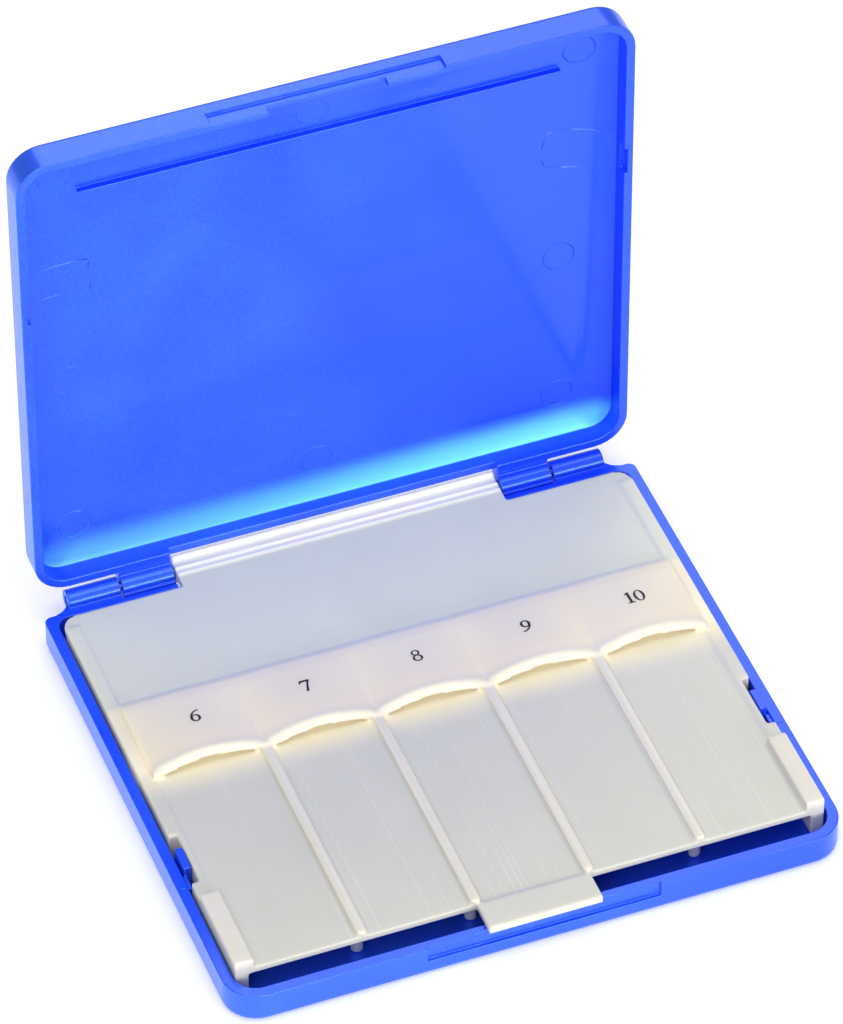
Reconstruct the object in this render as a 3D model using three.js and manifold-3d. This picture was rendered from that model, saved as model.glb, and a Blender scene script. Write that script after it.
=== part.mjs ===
// Needle case: two moulded shells joined by a pin hinge along the back, with a five-compartment
// tray between them. Millimetres, +Z up. The origin is the middle of the flat underside,
// +X runs along the width, and +Y points from the thumb tab at the front to the hinge at the back.
import * as THREE from 'three';
import { mergeVertices } from 'three/addons/utils/BufferGeometryUtils.js';
import Module from 'manifold-3d';

const wasm = await Module();
wasm.setup();

// ---- Driving dimensions ----
const caseWidth = 90;
const caseDepth = 79;
const cornerRadius = 5;
const edgeRadius = 1;          // rounding where a shell's side turns into its flat face
const backCornerRadius = edgeRadius + 0.1;  // the base's two back corners are nearly square

const baseHeight = 5;
const baseWall = 1.6;
const baseBackWall = 0.9;
const baseFloor = 1.2;
const floorFillet = 0.2;
const baseInnerCorner = 2;     // inside the base, at its back corners

const lidHeight = 5;
const lidWall = 1.35;
const lidPanel = 1.1;
const coveWidth = 5.5;         // the panel's inside curves up to the walls over this
const coveDepth = 1;
const lidOpenAngle = 90;       // degrees from closed to the stop
const partingGap = 0.3;        // between the two rims when the case is shut

const fitGap = 0.3;            // between a piece and what it sits in
const workGap = 0.3;           // between neighbouring knuckles along the pin

const hingeSetback = 2.3;      // pin axis behind the back wall
const knuckleRadius = 1.6;
const knuckleInset = 4.2;      // from the base's side to the outer end of the outer knuckle
const baseKnuckleLength = 7.8;
const lidKnuckleLength = 7.8;
const pinRadius = 0.6;
const pinClearance = 0.15;     // bore radius over pin radius
const pinGrip = 3;             // how far each pin runs into the tray's barrel

const recessHalfWidth = 17;    // finger recess in the front walls
const recessDepth = 0.5;
const recessHeight = 2.4;

const tabHalfWidth = 8.3;      // thumb tab of the tray
const tabThickness = 1.25;
const tabOverhang = 0.5;       // beyond the front wall

const compartments = 5;
const compartmentMargin = 1.85; // from the tray's side to the first compartment
const plateThickness = 1;
const plateRise = 1;           // of the surface that the needles lie on, above the base's rim
const plateFrontSetback = 2.9; // from the inside of the front wall to the plate's edge
const plateBackSetback = 0.95; // from the inside of the back wall, so that the shut lid's wall passes
const plateBackCorner = 2.4;
const railWidth = 2;
const railRise = 0.3;
const frontRailWidth = 2.7;
const frontRailRise = 1.5;
const frontRailLength = 14;
const dividerWidth = 1.5;
const dividerRise = 0.75;
const postRadius = 0.9;
const postSetback = 2.4;       // post axis behind the plate's front edge

const roofBack = 18.4;         // where the vaulted roof leaves the deck
const roofFront = 3.5;         // its lip over the compartments
const roofValley = 1.1;        // above the plate, between two vaults
const roofCrown = 2.6;         // above the plate, at the lip
const roofThickness = 1.2;
const roofBackRatio = 0.05;    // share of the arch that is left at the back edge
const roofBackRamp = 2.2;      // over this the back edge runs out into the deck
const lipScallop = 0.6;        // the lip runs this much further forward at a divider
const lipRadius = 0.8;         // rounding of the lip's upper edge
const pocketDepth = 11;

const tailThickness = 1.55;
const tailGap = 0.25;          // under the relieved wall of the shut lid
const barrelHalfHeight = 1.5;
const barrelTopDrop = 0.2;     // the flat between the ridges and the lip, below the barrel's round
const lipSetback = 0.85;       // the upstanding lip starts this far behind the pin axis
const lipThickness = 0.7;
const lipRise = 1.95;          // above the pin axis
const ridgeWidth = 0.6;
const lowRidgeY = 0.3;         // from the base's back wall
const highRidgeY = 1.4;
const lowRidgeRise = 0.3;      // above the plate
const highRidgeRise = 0.45;

const ribInset = 9.8;          // low rib inside the lid: from the lid's side to the rib's end
const ribWidth = 0.5;
const ribHeight = 0.9;
const ribFromFront = 9.1;

const catchFromFront = 24.9;   // near end of each side catch
const catchLength = 4;
const catchToeLength = 2.6;    // low toe in front of the catch
const catchWidth = 1.05;
const catchRise = 1.2;         // above the base's rim
const catchSlot = 0.35;
const catchFootHeight = 2.6;   // below this the catch is one with the wall
const detentLength = 4.4;
const detentShift = 1.2;       // each detent sits this much further forward than its catch
const detentDepth = 0.5;
const detentHeight = 1.6;
const notchMargin = 2.4;       // clear length of the tray's notch behind its catch
const notchGap = 0.15;         // between a catch and the side of its notch

// ---- Values that follow from them ----
const frontY = -caseDepth / 2;
const backY = caseDepth / 2;
const sideX = caseWidth / 2;
const rimZ = baseHeight;
const lidRimZ = baseHeight + partingGap;
const lidTopZ = lidRimZ + lidHeight;
const lidCeilingZ = lidTopZ - lidPanel;
const axisY = backY + hingeSetback;
const axisZ = rimZ;
const boreRadius = pinRadius + pinClearance;
const knuckleEnd = sideX - knuckleInset;
const baseKnuckleStart = knuckleEnd - baseKnuckleLength;
const lidKnuckleEnd = baseKnuckleStart - workGap;
const lidKnuckleStart = lidKnuckleEnd - lidKnuckleLength;
const barrelHalfLength = lidKnuckleStart - workGap;
const insideFrontY = frontY + baseWall;
const insideBackY = backY - baseBackWall;
const insideX = sideX - baseWall;
const trayX = insideX - fitGap;
const trayBackY = insideBackY - plateBackSetback;
const trayFrontY = insideFrontY + plateFrontSetback;
const trayFootZ = baseFloor + 0.1;
const plateTop = rimZ + plateRise;
const plateBottom = plateTop - plateThickness;
const compartmentPitch = (2 * (trayX - compartmentMargin)) / compartments;
const tabTop = rimZ + 0.1 + tabThickness;
const tailBottom = plateTop - tailThickness;
const catchY = frontY + catchFromFront;
const ribHalfLength = sideX - ribInset;

// ---- Helpers: three.js shapes in, solids joined and cut, geometry out ----
function toSolid(geometry) {
  const bare = geometry.index ? geometry.toNonIndexed() : geometry.clone();
  bare.deleteAttribute('normal');
  bare.deleteAttribute('uv');
  const merged = mergeVertices(bare, 1e-4);
  const corners = merged.index.array;
  const kept = [];
  for (let i = 0; i < corners.length; i += 3) {
    const [a, b, c] = corners.subarray(i, i + 3);
    if (a !== b && b !== c && c !== a) kept.push(a, b, c);
  }
  return new wasm.Manifold(new wasm.Mesh({
    numProp: 3,
    vertProperties: new Float32Array(merged.attributes.position.array),
    triVerts: new Uint32Array(kept),
  }));
}

function toGeometry(solid) {
  const mesh = solid.getMesh();
  const geometry = new THREE.BufferGeometry();
  geometry.setAttribute('position', new THREE.BufferAttribute(new Float32Array(mesh.vertProperties), 3));
  geometry.setIndex(new THREE.BufferAttribute(new Uint32Array(mesh.triVerts), 1));
  geometry.computeVertexNormals();
  return geometry;
}

function box(x0, x1, y0, y1, z0, z1) {
  const geometry = new THREE.BoxGeometry(x1 - x0, y1 - y0, z1 - z0);
  geometry.translate((x0 + x1) / 2, (y0 + y1) / 2, (z0 + z1) / 2);
  return toSolid(geometry);
}

// A cylinder lying along X on the hinge axis, or on another line of the YZ plane.
function rod(x0, x1, radius, y = axisY, z = axisZ, sides = 24) {
  const geometry = new THREE.CylinderGeometry(radius, radius, x1 - x0, sides);
  geometry.rotateZ(Math.PI / 2);
  geometry.translate((x0 + x1) / 2, y, z);
  return toSolid(geometry);
}

function post(x, y, z0, z1, radius) {
  const geometry = new THREE.CylinderGeometry(radius, radius, z1 - z0, 20);
  geometry.rotateX(Math.PI / 2);
  geometry.translate(x, y, (z0 + z1) / 2);
  return toSolid(geometry);
}

// A rectangle with its own radius at the front corners and at the back corners.
function plan(x, y0, y1, frontRadius, backRadius) {
  const steps = 8;
  const corners = [
    [x - frontRadius, y0 + frontRadius, frontRadius, -0.5],
    [x - backRadius, y1 - backRadius, backRadius, 0],
    [-x + backRadius, y1 - backRadius, backRadius, 0.5],
    [-x + frontRadius, y0 + frontRadius, frontRadius, 1],
  ];
  const points = [];
  for (const [cx, cy, radius, start] of corners) {
    for (let i = 0; i <= steps; i += 1) {
      const angle = Math.PI * (start + i / steps / 2);
      points.push(new THREE.Vector2(cx + radius * Math.cos(angle), cy + radius * Math.sin(angle)));
    }
  }
  return new THREE.Shape(points);
}

// Extrudes a plan from z0 to z1; a bevel rounds both rims inward by its size.
function slab(shape, z0, z1, bevel = 0) {
  const geometry = new THREE.ExtrudeGeometry(shape, {
    depth: z1 - z0 - 2 * bevel,
    bevelEnabled: bevel > 0,
    bevelSize: bevel,
    bevelThickness: bevel,
    bevelOffset: -bevel,
    bevelSegments: 3,
  });
  geometry.translate(0, 0, z0 + bevel);
  return toSolid(geometry);
}

// The lid's hollow: an outline extruded from z0 to z1, whose far face curves towards its sides in
// a wide and shallow arc. The outline is centred on the Z axis.
function covedHollow(shape, halfX, halfY, z0, z1) {
  const rows = 9;
  const steepest = 2 * Math.atan(coveDepth / coveWidth);
  const radius = coveWidth / Math.sin(steepest);
  const geometry = new THREE.ExtrudeGeometry(shape, { depth: rows, steps: rows, bevelEnabled: false });
  const position = geometry.attributes.position;
  for (let i = 0; i < position.count; i += 1) {
    const row = Math.round(position.getZ(i));
    const slope = steepest * Math.min((rows - row) / (rows - 1), 1);
    const inset = coveWidth - radius * Math.sin(slope);
    const z = row === 0 ? z0 : z1 - radius * (1 - Math.cos(slope));
    position.setXYZ(i, position.getX(i) * (1 - inset / halfX), position.getY(i) * (1 - inset / halfY), z);
  }
  return toSolid(geometry);
}

// Extrudes a section drawn in (y, z) along X.
function bar(points, x0, x1) {
  const shape = new THREE.Shape(points.map(([y, z]) => new THREE.Vector2(y, z)));
  const geometry = new THREE.ExtrudeGeometry(shape, { depth: x1 - x0, bevelEnabled: false });
  geometry.rotateY(Math.PI / 2);
  geometry.rotateX(Math.PI / 2);
  geometry.translate(x0, 0, 0);
  return toSolid(geometry);
}

const addAll = (first, ...rest) => rest.reduce((sum, solid) => sum.add(solid), first);
const cutAll = (first, ...rest) => rest.reduce((left, solid) => left.subtract(solid), first);
const bothSides = (make) => make(1).add(make(-1));

// A box given by its distances from the middle, on the side that the sign names.
function sideBox(side, near, far, y0, y1, z0, z1) {
  return side > 0 ? box(near, far, y0, y1, z0, z1) : box(-far, -near, y0, y1, z0, z1);
}

function sideRod(side, near, far, radius) {
  return side > 0 ? rod(near, far, radius) : rod(-far, -near, radius);
}

// ---- Base shell ----
// The web under each outer knuckle runs out to the back corner in a hollow curve.
function knuckleWeb(side) {
  const shape = new THREE.Shape();
  shape.moveTo(baseKnuckleStart, insideBackY + 0.2);
  shape.lineTo(baseKnuckleStart, axisY);
  shape.lineTo(knuckleEnd, axisY);
  shape.quadraticCurveTo(knuckleEnd + 0.3, backY + 0.2, sideX - backCornerRadius, backY - 0.1);
  shape.lineTo(sideX - backCornerRadius, insideBackY + 0.2);
  const geometry = new THREE.ExtrudeGeometry(shape, {
    depth: knuckleRadius, bevelEnabled: false, curveSegments: 6,
  });
  geometry.translate(0, 0, axisZ - knuckleRadius);
  const web = toSolid(geometry);
  return side > 0 ? web : web.mirror([1, 0, 0]);
}

function fingerRecess(z0, z1) {
  return box(-recessHalfWidth, recessHalfWidth, frontY - 1, frontY + recessDepth, z0, z1);
}

function sideCatch(side) {
  const inner = trayX - catchWidth;
  const y1 = catchY + catchLength;
  const block = sideBox(side, inner, insideX + 0.2, catchY, y1, baseFloor - 0.2, rimZ + catchRise);
  const slot = sideBox(side, trayX, insideX + catchSlot, catchY, y1 + 0.5, catchFootHeight, rimZ + 5);
  const toe = sideBox(side, trayX - 0.3, insideX + 0.2, catchY - catchToeLength, catchY + 0.1,
    baseFloor - 0.2, rimZ - 0.2);
  return block.subtract(slot).add(toe);
}

function makeBaseShell() {
  const outline = plan(sideX, frontY, backY, cornerRadius, backCornerRadius);
  const blank = slab(outline, 0, rimZ + 2 * edgeRadius, edgeRadius);
  const inside = plan(insideX, insideFrontY, insideBackY, cornerRadius - baseWall, baseInnerCorner);
  const cavity = slab(inside, baseFloor, rimZ + 6, floorFillet);
  const above = box(-sideX - 1, sideX + 1, frontY - 1, axisY + 5, rimZ, rimZ + 9);
  const shell = cutAll(
    blank,
    cavity,
    above,
    fingerRecess(rimZ - recessHeight, rimZ + 1),
    box(-barrelHalfLength - workGap, barrelHalfLength + workGap, insideBackY - 1, backY + 1,
      tailBottom - fitGap, rimZ + 1),
  );
  const knuckles = bothSides((side) => sideRod(side, baseKnuckleStart, knuckleEnd, knuckleRadius));
  const bores = bothSides((side) => sideRod(side, baseKnuckleStart - 1, knuckleEnd + 1, boreRadius));
  return addAll(shell, bothSides(knuckleWeb), knuckles, bothSides(sideCatch)).subtract(bores);
}

// ---- Lid shell, drawn shut ----
function lidKnuckle(side) {
  const start = side > 0 ? lidKnuckleStart : -lidKnuckleEnd;
  const end = side > 0 ? lidKnuckleEnd : -lidKnuckleStart;
  const arm = [
    [backY - lidWall / 2, lidRimZ],
    [axisY - knuckleRadius + 0.2, lidRimZ],
    [axisY, axisZ + 0.8],
    [axisY + knuckleRadius * 0.7, axisZ + knuckleRadius * 0.7],
    [axisY - knuckleRadius * 0.5, axisZ + knuckleRadius + 0.5],
    [backY + 0.2, lidRimZ + 2.9],
    [backY - lidWall / 2, lidRimZ + 3.3],
  ];
  const heelReach = hingeSetback - fitGap;
  const heel = box(start, end, axisY, axisY + knuckleRadius, axisZ - heelReach, axisZ);
  return addAll(rod(start, end, knuckleRadius), bar(arm, start, end), heel);
}

function detent(side) {
  const y0 = catchY + (catchLength - detentLength) / 2 - detentShift;
  const wallX = sideX - lidWall;
  return sideBox(side, wallX - 1, wallX + detentDepth, y0, y0 + detentLength, lidRimZ - 1,
    lidRimZ + detentHeight);
}

function makeLidShell() {
  const outline = plan(sideX, frontY, backY, cornerRadius, cornerRadius);
  const blank = slab(outline, lidRimZ - 2 * edgeRadius, lidTopZ, edgeRadius);
  const innerRadius = cornerRadius - lidWall;
  const inside = plan(sideX - lidWall, frontY + lidWall, backY - lidWall, innerRadius, innerRadius);
  const cavity = covedHollow(inside, sideX - lidWall, backY - lidWall, lidRimZ - 6, lidCeilingZ);
  const below = box(-sideX - 1, sideX + 1, frontY - 1, backY + 1, lidRimZ - 9, lidRimZ);
  const tabNotch = box(-tabHalfWidth - fitGap, tabHalfWidth + fitGap, frontY - 1,
    frontY + lidWall + 1, lidRimZ - 1, tabTop + fitGap);
  const tailRelief = box(-barrelHalfLength - workGap, barrelHalfLength + workGap,
    backY - lidWall - 1, backY + 1, lidRimZ - 1, plateTop + tailGap);
  const shell = cutAll(blank, cavity, below, fingerRecess(lidRimZ - 1, lidRimZ + recessHeight),
    tabNotch, tailRelief, detent(1), detent(-1));
  const ribY = frontY + ribFromFront;
  const rib = box(-ribHalfLength, ribHalfLength, ribY - ribWidth / 2, ribY + ribWidth / 2,
    lidCeilingZ - ribHeight, lidCeilingZ + lidPanel / 2);
  const bores = bothSides((side) => sideRod(side, lidKnuckleStart - 1, lidKnuckleEnd + 1, boreRadius));
  return addAll(shell, rib, bothSides(lidKnuckle)).subtract(bores);
}

// ---- Tray ----
const archHeight = (u) => Math.sin(Math.PI * THREE.MathUtils.clamp(u, 0, 1)) ** 0.8;

// One vault, or the pocket under it: an arched section swept from front to back, its height
// above z0 dying away towards the back and its front edge rounded over. Over the ramp it runs
// out to a thin edge.
function vault(centreX, halfWidth, y0, y1, z0, spring, crown, backRatio, scallop, radius, ramp) {
  const columns = 20;
  const shape = new THREE.Shape();
  shape.moveTo(-halfWidth, 0);
  shape.lineTo(halfWidth, 0);
  for (let i = columns; i >= 0; i -= 1) {
    shape.lineTo((2 * i / columns - 1) * halfWidth, spring + (crown - spring) * archHeight(i / columns));
  }
  const rounding = radius > 0 ? 4 : 0;
  const rows = rounding + 9;
  const geometry = new THREE.ExtrudeGeometry(shape, { depth: rows, steps: rows, bevelEnabled: false });
  const position = geometry.attributes.position;
  for (let i = 0; i < position.count; i += 1) {
    const x = position.getX(i);
    const height = position.getY(i);
    const row = Math.round(position.getZ(i));
    const turn = rounding ? Math.min(row / rounding, 1) * Math.PI / 2 : Math.PI / 2;
    const run = Math.max(row - rounding, 0) / (rows - rounding);
    const y = row < rounding ? radius * (1 - Math.cos(turn)) : radius + run * (y1 - y0 - radius);
    const back = y / (y1 - y0);
    const ratio = 1 + (backRatio - 1) * back;
    const drop = radius * (1 - Math.sin(turn));
    const full = Math.max((height - spring) * ratio - drop, 0) + Math.min(height, spring);
    const raised = ramp > 0 ? full * Math.min((y1 - y0 - y) / ramp + 0.2, 1) : full;
    const forward = scallop * (1 - archHeight((x / halfWidth + 1) / 2)) * (1 - back);
    position.setXYZ(i, -x + centreX, y0 + y - forward, z0 + raised);
  }
  return toSolid(geometry);
}

const compartmentX = (i) => (i - (compartments - 1) / 2) * compartmentPitch;

function trayRoof() {
  const wide = compartmentPitch / 2 + 0.01;
  const solids = [];
  for (let i = 0; i < compartments; i += 1) {
    const edge = i === 0 || i === compartments - 1;
    const centre = compartmentX(i);
    const body = vault(centre, wide, roofFront, roofBack, plateTop - 0.2, roofValley + 0.2,
      roofCrown + 0.2, roofBackRatio, lipScallop, lipRadius, roofBackRamp);
    solids.push(body);
    if (edge) {
      const side = Math.sign(centre);
      solids.push(sideBox(side, Math.abs(centre) + wide - 0.5, trayX - railWidth + 0.2,
        roofFront, roofBack - roofBackRamp, plateTop - 0.2, plateTop + roofValley));
    }
  }
  return addAll(...solids);
}

function trayPocket(i) {
  const half = (compartmentPitch - dividerWidth) / 2;
  const crown = roofCrown - roofThickness;
  return vault(compartmentX(i), half, roofFront - 2, roofFront + pocketDepth, plateTop, 0.05, crown,
    0.2, 0, 0, 0);
}

function trayRail(side) {
  const stepY = trayFrontY + frontRailLength;
  const back = sideBox(side, trayX - railWidth, trayX, stepY - 1, trayBackY - plateBackCorner,
    trayFootZ, plateTop + railRise);
  const front = sideBox(side, trayX - frontRailWidth, trayX, trayFrontY, stepY, plateBottom,
    plateTop + frontRailRise);
  const leg = sideBox(side, trayX - railWidth, trayX, trayFrontY, stepY, trayFootZ, plateTop);
  return addAll(back, front, leg);
}

function trayDivider(i) {
  const x = compartmentX(i) + compartmentPitch / 2;
  const foot = post(x, trayFrontY + postSetback, trayFootZ, plateTop, postRadius);
  const end = post(x, trayFrontY + dividerWidth / 2, plateBottom, plateTop + dividerRise, dividerWidth / 2);
  const wall = box(x - dividerWidth / 2, x + dividerWidth / 2, trayFrontY + dividerWidth / 2,
    roofFront + 1, plateTop - 0.2, plateTop + dividerRise);
  return addAll(foot, end, wall);
}

// A low ridge across the tail: its foot, its crest and its foot again.
function ridge(startY, rise) {
  const side = ridgeWidth / 4;
  return [
    [startY + ridgeWidth, plateTop],
    [startY + ridgeWidth - side, plateTop + rise],
    [startY + side, plateTop + rise],
    [startY, plateTop],
  ];
}

// The tail runs on from the deck, passes over the back wall with two low ridges and ends in a
// barrel round the pins, with an upstanding lip behind it.
function trayTail() {
  const lipY = axisY + lipSetback;
  const lipBackY = lipY + lipThickness;
  const section = [
    [trayBackY - 2, tailBottom],
    [axisY - barrelHalfHeight, tailBottom],
    [axisY - barrelHalfHeight, axisZ - barrelHalfHeight * 0.5],
    [axisY - barrelHalfHeight * 0.5, axisZ - barrelHalfHeight],
    [axisY + barrelHalfHeight * 0.5, axisZ - barrelHalfHeight],
    [lipBackY, axisZ - barrelHalfHeight * 0.5],
    [lipBackY, axisZ + lipRise],
    [lipY, axisZ + lipRise],
    [lipY - 0.1, axisZ + barrelHalfHeight - barrelTopDrop],
    ...ridge(backY + highRidgeY, highRidgeRise),
    ...ridge(backY + lowRidgeY, lowRidgeRise),
    [trayBackY - 2, plateTop],
  ];
  return bar(section, -barrelHalfLength, barrelHalfLength);
}

function makeTray() {
  const outline = plan(trayX, trayFrontY, trayBackY, 0.8, plateBackCorner);
  const plate = slab(outline, plateBottom, plateTop);
  const skirt = box(-trayX + plateBackCorner, trayX - plateBackCorner, trayBackY - 1.2, trayBackY,
    trayFootZ, plateTop);
  const tab = box(-tabHalfWidth, tabHalfWidth, frontY - tabOverhang, trayFrontY + 1,
    tabTop - tabThickness, tabTop);
  const tabRamp = box(-tabHalfWidth, tabHalfWidth, trayFrontY - 0.01, trayFrontY + 3, plateTop, tabTop + 1);
  const notches = bothSides((side) => sideBox(side, trayX - catchWidth - notchGap, trayX + 1,
    catchY - catchToeLength - fitGap, catchY + catchLength + notchMargin, 0, rimZ + 5));
  const dividers = [];
  for (let i = 0; i < compartments - 1; i += 1) dividers.push(trayDivider(i));
  const pockets = [];
  for (let i = 0; i < compartments; i += 1) pockets.push(trayPocket(i));
  const body = addAll(plate, skirt, bothSides(trayRail), trayRoof()).subtract(tabRamp);
  const cut = cutAll(body, notches, ...pockets);
  const barrelBore = bothSides((side) => sideRod(side, barrelHalfLength - pinGrip - 0.3,
    barrelHalfLength + 1, boreRadius));
  return addAll(cut, tab.subtract(tabRamp), ...dividers, trayTail()).subtract(barrelBore);
}

// ---- Hinge pins ----
function pinGeometry() {
  const length = knuckleEnd - 0.2 - (barrelHalfLength - pinGrip);
  const chamfer = 0.15;
  const half = length / 2;
  const profile = [
    new THREE.Vector2(0, -half),
    new THREE.Vector2(pinRadius - chamfer, -half),
    new THREE.Vector2(pinRadius, -half + chamfer),
    new THREE.Vector2(pinRadius, half - chamfer),
    new THREE.Vector2(pinRadius - chamfer, half),
    new THREE.Vector2(0, half),
  ];
  const geometry = new THREE.LatheGeometry(profile, 24);
  geometry.rotateZ(Math.PI / 2);
  return toGeometry(toSolid(geometry));
}

// ---- Assembly, with the lid at its stop ----
const bluePlastic = () => new THREE.MeshStandardMaterial({
  color: 0x2f66f0, roughness: 0.38, metalness: 0.25,
});
const naturalPlastic = new THREE.MeshStandardMaterial({ color: 0xd9d6cc, roughness: 0.5, metalness: 0 });
const steel = new THREE.MeshStandardMaterial({ color: 0xb9bcc0, roughness: 0.3, metalness: 1 });

function part(name, geometry, material) {
  const mesh = new THREE.Mesh(geometry, material);
  mesh.name = name;
  return mesh;
}

const needleCase = new THREE.Group();
needleCase.add(part('base_shell', toGeometry(makeBaseShell()), bluePlastic()));
needleCase.add(part('needle_tray', toGeometry(makeTray()), naturalPlastic));

const lidSwing = new THREE.Group();
lidSwing.position.set(0, axisY, axisZ);
lidSwing.rotation.x = -THREE.MathUtils.degToRad(lidOpenAngle);
const lid = part('lid_shell', toGeometry(makeLidShell()), bluePlastic());
lid.position.set(0, -axisY, -axisZ);
lidSwing.add(lid);
needleCase.add(lidSwing);

for (const [name, side] of [['hinge_pin_left', -1], ['hinge_pin_right', 1]]) {
  const pin = part(name, pinGeometry(), steel.clone());
  pin.position.set(side * (knuckleEnd - 0.2 + barrelHalfLength - pinGrip) / 2, axisY, axisZ);
  needleCase.add(pin);
}

export default needleCase;
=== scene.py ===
"""Looks of a hinged plastic needle case with a five-compartment tray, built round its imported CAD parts.

Every length is in metres. The constant MM turns the millimetres that the classes state into metres.
"""

from __future__ import annotations

import logging
import math
from dataclasses import dataclass
from enum import Enum

import bmesh
import bpy
from mathutils import Matrix, Vector
from mathutils.bvhtree import BVHTree


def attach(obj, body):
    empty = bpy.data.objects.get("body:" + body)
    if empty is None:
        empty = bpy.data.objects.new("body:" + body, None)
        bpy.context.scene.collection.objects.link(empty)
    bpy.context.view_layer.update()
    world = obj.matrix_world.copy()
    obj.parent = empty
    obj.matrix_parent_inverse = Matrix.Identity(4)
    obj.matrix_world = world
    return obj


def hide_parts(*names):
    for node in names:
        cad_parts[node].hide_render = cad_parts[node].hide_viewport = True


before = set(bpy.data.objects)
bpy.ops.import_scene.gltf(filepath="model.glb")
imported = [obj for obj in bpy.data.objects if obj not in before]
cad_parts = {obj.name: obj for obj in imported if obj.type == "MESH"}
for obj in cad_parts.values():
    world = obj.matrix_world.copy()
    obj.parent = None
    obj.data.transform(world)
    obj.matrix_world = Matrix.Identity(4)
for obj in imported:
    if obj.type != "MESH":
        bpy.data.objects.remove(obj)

log = logging.getLogger("needle_case")
MM = 0.001
MERGE_MM = 0.002  # vertices closer than this are one
FLAT_DEGREES = 0.5  # faces that turn by less lie in one plane
SHARP_DEGREES = 40  # edges that turn by more stay sharp


# ---------------------------------------------------------------- small shared helpers


def srgb(code: str) -> tuple[float, float, float, float]:
    """Turns an sRGB hex code into linear colour.

    Args:
        code: Six hex digits, such as "2f66f0".

    Returns:
        Linear red, green, blue and an alpha of 1.
    """
    parts = [int(code[i : i + 2], 16) / 255 for i in (0, 2, 4)]
    linear = [c / 12.92 if c <= 0.04045 else ((c + 0.055) / 1.055) ** 2.4 for c in parts]
    return (linear[0], linear[1], linear[2], 1.0)


def add_node(
    tree: bpy.types.NodeTree,
    kind: str,
    settings: dict[str, object] | None = None,
    inputs: dict[str | int, object] | None = None,
) -> bpy.types.Node:
    """Adds one node, sets its properties, and sets or links its inputs.

    Args:
        tree: The tree that the node goes into.
        kind: The node's type name.
        settings: Properties of the node by name.
        inputs: Input values by name or number; an output socket is linked instead.

    Returns:
        The new node.
    """
    node = tree.nodes.new(kind)
    for name, value in (settings or {}).items():
        setattr(node, name, value)
    for name, value in (inputs or {}).items():
        if isinstance(value, bpy.types.NodeSocket):
            tree.links.new(value, node.inputs[name])
        else:
            node.inputs[name].default_value = value
    return node


def per_mm(size_mm: float) -> float:
    """Gives the texture scale, in cycles per metre, of a pattern whose feature is size_mm wide."""
    return 1 / (size_mm * MM)


def new_piece(name: str, bm: bmesh.types.BMesh, material: bpy.types.Material) -> bpy.types.Object:
    """Makes a finished bmesh into a piece at the origin.

    Args:
        name: The piece's name.
        bm: Its shape, in metres in the row frame; it is freed here.
        material: Its finish.

    Returns:
        The new object, smooth shaded apart from its sharp edges.
    """
    mesh = bpy.data.meshes.new(name)
    bm.to_mesh(mesh)
    bm.free()
    mesh.materials.append(material)
    mesh.shade_smooth()
    mesh.set_sharp_from_angle(angle=math.radians(SHARP_DEGREES))
    piece = bpy.data.objects.new(name, mesh)
    bpy.context.scene.collection.objects.link(piece)
    return piece


def even_normals(piece: bpy.types.Object) -> None:
    """Lets the flat faces rule the shading, so that only the roundings between them look round.

    Args:
        piece: The piece.
    """
    weighted = piece.modifiers.new("even_normals", "WEIGHTED_NORMAL")
    weighted.mode = "FACE_AREA_WITH_ANGLE"
    weighted.weight = 50
    weighted.keep_sharp = True
    weighted.use_face_influence = True


def merged_copy(node: str) -> bmesh.types.BMesh:
    """Copies a CAD node's mesh, merges its loose triangles and joins those that lie in one plane.

    Args:
        node: The CAD node's name.

    Returns:
        The merged shape, in the row frame.
    """
    bm = bmesh.new()
    bm.from_mesh(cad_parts[node].data)
    bmesh.ops.remove_doubles(bm, verts=bm.verts[:], dist=MERGE_MM * MM)
    bmesh.ops.dissolve_degenerate(bm, dist=MERGE_MM * MM, edges=bm.edges[:])
    bmesh.ops.dissolve_limit(
        bm,
        angle_limit=math.radians(FLAT_DEGREES),
        verts=bm.verts[:],
        edges=bm.edges[:],
        use_dissolve_boundaries=False,
    )
    return bm


def round_edges(piece: bpy.types.Object, width_mm: float, angle: float = 38) -> None:
    """Gives a piece's crisp edges the small radius that a mould leaves.

    Args:
        piece: The piece.
        width_mm: The rounding's width.
        angle: Edges that turn by less, in degrees, stay as they are.
    """
    bevel = piece.modifiers.new("moulded_edges", "BEVEL")
    bevel.width = width_mm * MM
    bevel.segments = 2
    bevel.limit_method = "ANGLE"
    bevel.angle_limit = math.radians(angle)
    bevel.use_clamp_overlap = False
    bevel.miter_outer = "MITER_ARC"
    bevel.harden_normals = False
    bevel.face_strength_mode = "FSTR_ALL"


def soft_skin(piece: bpy.types.Object, voxel_mm: float, passes: int, kept: float) -> None:
    """Gives a piece one even skin and relaxes it, so that ribs and hollows run into each other softly.

    Args:
        piece: The piece.
        voxel_mm: Size of the skin's faces.
        passes: How often the skin is relaxed.
        kept: Share of the faces that is kept; flat places lose most.
    """
    skin = piece.modifiers.new("even_skin", "REMESH")
    skin.mode = "VOXEL"
    skin.voxel_size = voxel_mm * MM
    skin.use_smooth_shade = True
    relax = piece.modifiers.new("relaxed_skin", "SMOOTH")
    relax.factor = 0.5
    relax.iterations = passes
    fewer = piece.modifiers.new("fewer_faces", "DECIMATE")
    fewer.ratio = kept


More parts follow.
